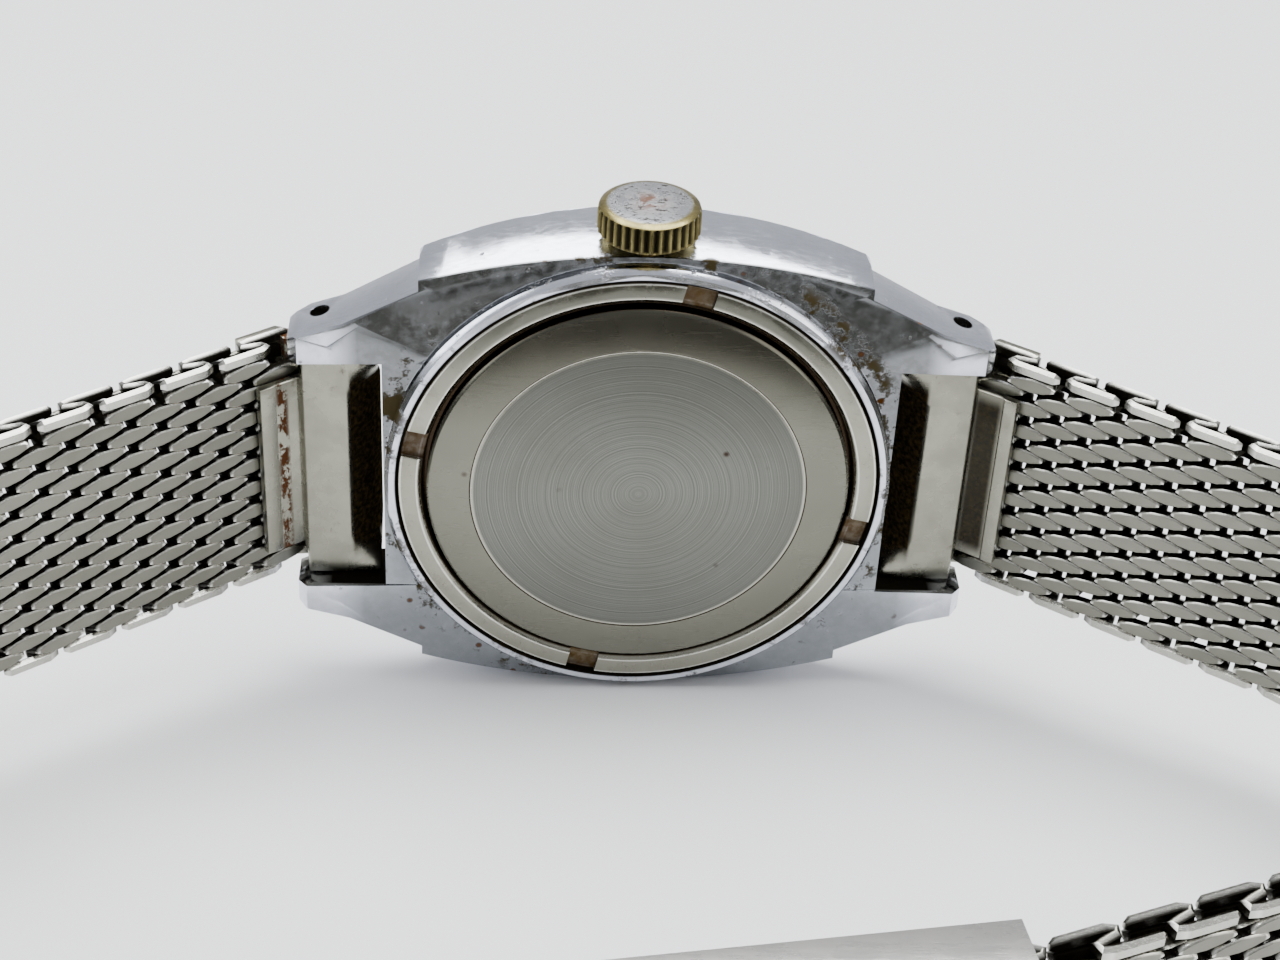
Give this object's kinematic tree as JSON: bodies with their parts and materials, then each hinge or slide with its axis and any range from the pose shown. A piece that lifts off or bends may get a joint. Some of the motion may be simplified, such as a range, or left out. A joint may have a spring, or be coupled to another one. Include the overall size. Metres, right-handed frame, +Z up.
{
  "type": "wristwatch",
  "caption": "Hand-wound cushion-case wristwatch with a ring-held back and fluted crown, on a closed woven-mesh bracelet, standing on the edge of its case.",
  "frame": {"origin": "middle of the case back's flat outer face", "axes": "+Z up from the table it stands on, +X towards 12 o'clock; the case back looks along -Y and, because the case is wider than the bracelet, leans 7.4 degrees down, so the crown at 3 o'clock points up and 7.4 degrees towards -Y"},
  "size_m": [0.105, 0.0681, 0.0378],
  "materials": {
    "case_chrome": "polished chrome plate, pitted at the edges",
    "crystal": "clear domed acrylic",
    "rehaut": "satin",
    "back_steel": "turned with fine concentric grain",
    "ring_steel": "polished and bevelled",
    "gasket": "flat black",
    "crown_brass": "worn brass fluting under a chromed top",
    "small_steel": "polished",
    "plate_brass": "gilt",
    "bridge_nickel": "nickelled and grained",
    "blued_steel": "blued",
    "dial_silver": "silvered sunray",
    "hands": "polished",
    "bar_steel": "drawn steel",
    "clip_steel": "folded sheet, worn satin",
    "mesh_steel": "woven flattened wire, dark in the gaps",
    "clasp_steel": "polished sheet"
  },
  "bodies": {
    "case": {"case_middle": "case_chrome", "crystal": "crystal", "dial_ring": "rehaut", "back_disc": "back_steel", "back_gasket": "gasket", "crown_tube": "plate_brass", "movement_ring": "small_steel", "main_plate": "plate_brass", "barrel_bridge": "bridge_nickel", "train_bridge": "bridge_nickel", "balance_cock": "bridge_nickel", "bridge_screws": "blued_steel", "hairspring": "blued_steel", "dial": "dial_silver", "hour_markers": "hands", "spring_bar_12": "bar_steel", "spring_bar_6": "bar_steel"},
    "retaining_ring": {"back_retaining_ring": "ring_steel"},
    "setting_lever": {"setting_lever": "small_steel"},
    "crown": {"crown": "crown_brass", "winding_stem": "small_steel"},
    "winding_pinion": {"winding_pinion": "small_steel"},
    "sliding_clutch": {"sliding_clutch": "small_steel"},
    "crown_wheel": {"crown_wheel": "small_steel"},
    "ratchet": {"barrel_arbor": "small_steel", "ratchet_wheel": "small_steel"},
    "click": {"click": "small_steel"},
    "barrel": {"mainspring_barrel": "plate_brass", "mainspring": "blued_steel"},
    "centre": {"centre_wheel": "plate_brass"},
    "third": {"third_wheel": "plate_brass"},
    "fourth": {"fourth_wheel": "plate_brass", "seconds_hand": "hands"},
    "escape": {"escape_wheel": "small_steel"},
    "fork": {"pallet_fork": "small_steel"},
    "balance": {"balance_wheel": "plate_brass"},
    "minute": {"cannon_pinion": "small_steel", "minute_hand": "hands"},
    "minute_wheel": {"minute_wheel": "plate_brass"},
    "hour": {"hour_wheel": "plate_brass", "hour_hand": "hands"},
    "bar_tip_12_upper": {"bar_tip_12_upper": "bar_steel"},
    "bar_tip_12_lower": {"bar_tip_12_lower": "bar_steel"},
    "bar_tip_6_upper": {"bar_tip_6_upper": "bar_steel"},
    "bar_tip_6_lower": {"bar_tip_6_lower": "bar_steel"},
    "bracelet_12": {"end_clip_12": "clip_steel", "mesh_12": "mesh_steel", "clasp_slider": "clasp_steel", "clasp_pin": "bar_steel"},
    "bracelet_6": {"end_clip_6": "clip_steel", "mesh_6": "mesh_steel", "hook_end": "clip_steel"},
    "clasp_lever": {"clasp_lever": "clasp_steel"}
  },
  "joints": [
    {"name": "ring_turn", "type": "hinge", "parent": "case", "child": "retaining_ring", "pos_m": [0, 0.0005, 0.00006], "axis": [0, -0.9917, -0.1284], "continuous": true},
    {"name": "crown_pull", "type": "slide", "parent": "case", "child": "setting_lever", "axis": [0, -0.1284, 0.9917], "range_m": [0, 0.001]},
    {"name": "crown_turn", "type": "hinge", "parent": "setting_lever", "child": "crown", "pos_m": [0, 0.001, 0.01828], "axis": [0, -0.1284, 0.9917], "continuous": true},
    {"name": "winding_pinion_turn", "type": "hinge", "parent": "case", "child": "winding_pinion", "pos_m": [0, 0.00223, 0.00876], "axis": [0, -0.1284, 0.9917], "continuous": true},
    {"name": "sliding_clutch_turn", "type": "hinge", "parent": "case", "child": "sliding_clutch", "pos_m": [0, 0.00241, 0.00737], "axis": [0, -0.1284, 0.9917], "continuous": true},
    {"name": "crown_wheel_turn", "type": "hinge", "parent": "case", "child": "crown_wheel", "pos_m": [0, 0.00043, 0.00677], "axis": [0, -0.9917, -0.1284], "continuous": true},
    {"name": "ratchet_turn", "type": "hinge", "parent": "case", "child": "ratchet", "pos_m": [-0.00539, 0.00097, 0.00266], "axis": [0, -0.9917, -0.1284], "continuous": true},
    {"name": "click_lift", "type": "hinge", "parent": "case", "child": "click", "pos_m": [-0.01085, 0.00056, 0.00578], "axis": [0, -0.9917, -0.1284], "range_deg": [-6, 0]},
    {"name": "seconds_turn", "type": "hinge", "parent": "case", "child": "fourth", "pos_m": [0, 0.00198, 0.00026], "axis": [0, -0.9917, -0.1284], "continuous": true},
    {"name": "third_turn", "type": "hinge", "parent": "case", "child": "third", "pos_m": [-0.00256, 0.00245, -0.00336], "axis": [0, -0.9917, -0.1284], "continuous": true},
    {"name": "centre_turn", "type": "hinge", "parent": "case", "child": "centre", "pos_m": [0, 0.00258, 0.00033], "axis": [0, -0.9917, -0.1284], "continuous": true},
    {"name": "barrel_turn", "type": "hinge", "parent": "case", "child": "barrel", "pos_m": [-0.00539, 0.00255, 0.00286], "axis": [0, -0.9917, -0.1284], "continuous": true},
    {"name": "escape_turn", "type": "hinge", "parent": "case", "child": "escape", "pos_m": [0.0042, 0.00213, -0.00086], "axis": [0, -0.9917, -0.1284], "continuous": true},
    {"name": "fork_swing", "type": "hinge", "parent": "case", "child": "fork", "pos_m": [0.00564, 0.00293, -0.00312], "axis": [0, -0.9917, -0.1284], "range_deg": [-5, 5]},
    {"name": "balance_swing", "type": "hinge", "parent": "case", "child": "balance", "pos_m": [0.007, 0.00272, -0.0054], "axis": [0, -0.9917, -0.1284], "range_deg": [-135, 135]},
    {"name": "hand_setting", "type": "hinge", "parent": "case", "child": "minute", "pos_m": [0, 0.00674, 0.00087], "axis": [0, -0.9917, -0.1284], "continuous": true},
    {"name": "minute_wheel_turn", "type": "hinge", "parent": "case", "child": "minute_wheel", "pos_m": [0.0018, 0.00456, 0.00373], "axis": [0, -0.9917, -0.1284], "continuous": true},
    {"name": "hour_turn", "type": "hinge", "parent": "case", "child": "hour", "pos_m": [0, 0.00635, 0.00082], "axis": [0, -0.9917, -0.1284], "continuous": true},
    {"name": "bar_tip_12_upper_press", "type": "slide", "parent": "case", "child": "bar_tip_12_upper", "axis": [0, 0.1284, -0.9917], "range_m": [0, 0.0017]},
    {"name": "bar_tip_12_lower_press", "type": "slide", "parent": "case", "child": "bar_tip_12_lower", "axis": [0, -0.1284, 0.9917], "range_m": [0, 0.0017]},
    {"name": "bar_tip_6_upper_press", "type": "slide", "parent": "case", "child": "bar_tip_6_upper", "axis": [0, 0.1284, -0.9917], "range_m": [0, 0.0017]},
    {"name": "bar_tip_6_lower_press", "type": "slide", "parent": "case", "child": "bar_tip_6_lower", "axis": [0, -0.1284, 0.9917], "range_m": [0, 0.0017]},
    {"name": "bracelet_12_open", "type": "hinge", "parent": "case", "child": "bracelet_12", "pos_m": [0.02095, 0.00397, 0.00051], "axis": [0, -0.1284, 0.9917], "range_deg": [0, 30]},
    {"name": "bracelet_6_open", "type": "hinge", "parent": "case", "child": "bracelet_6", "pos_m": [-0.02095, 0.00397, 0.00051], "axis": [0, -0.1284, 0.9917], "range_deg": [-30, 0]},
    {"name": "clasp_lever_open", "type": "hinge", "parent": "bracelet_12", "child": "clasp_lever", "pos_m": [0.00846, -0.05359, -0.00694], "axis": [0, -0.1284, 0.9917], "range_deg": [0, 110]}
  ],
  "couplings": [
    {"joint": "winding_pinion_turn", "follows": "crown_turn", "ratio": 1},
    {"joint": "sliding_clutch_turn", "follows": "crown_turn", "ratio": 1},
    {"joint": "crown_wheel_turn", "follows": "crown_turn", "ratio": -0.57143},
    {"joint": "ratchet_turn", "follows": "crown_turn", "ratio": 0.25532},
    {"joint": "third_turn", "follows": "seconds_turn", "ratio": -0.13333},
    {"joint": "centre_turn", "follows": "seconds_turn", "ratio": 0.016667},
    {"joint": "barrel_turn", "follows": "seconds_turn", "ratio": -0.0027778},
    {"joint": "escape_turn", "follows": "seconds_turn", "ratio": -10},
    {"joint": "minute_wheel_turn", "follows": "hand_setting", "ratio": -0.33333},
    {"joint": "hour_turn", "follows": "hand_setting", "ratio": 0.083333},
    {"joint": "bracelet_6_open", "follows": "bracelet_12_open", "ratio": -1}
  ]
}
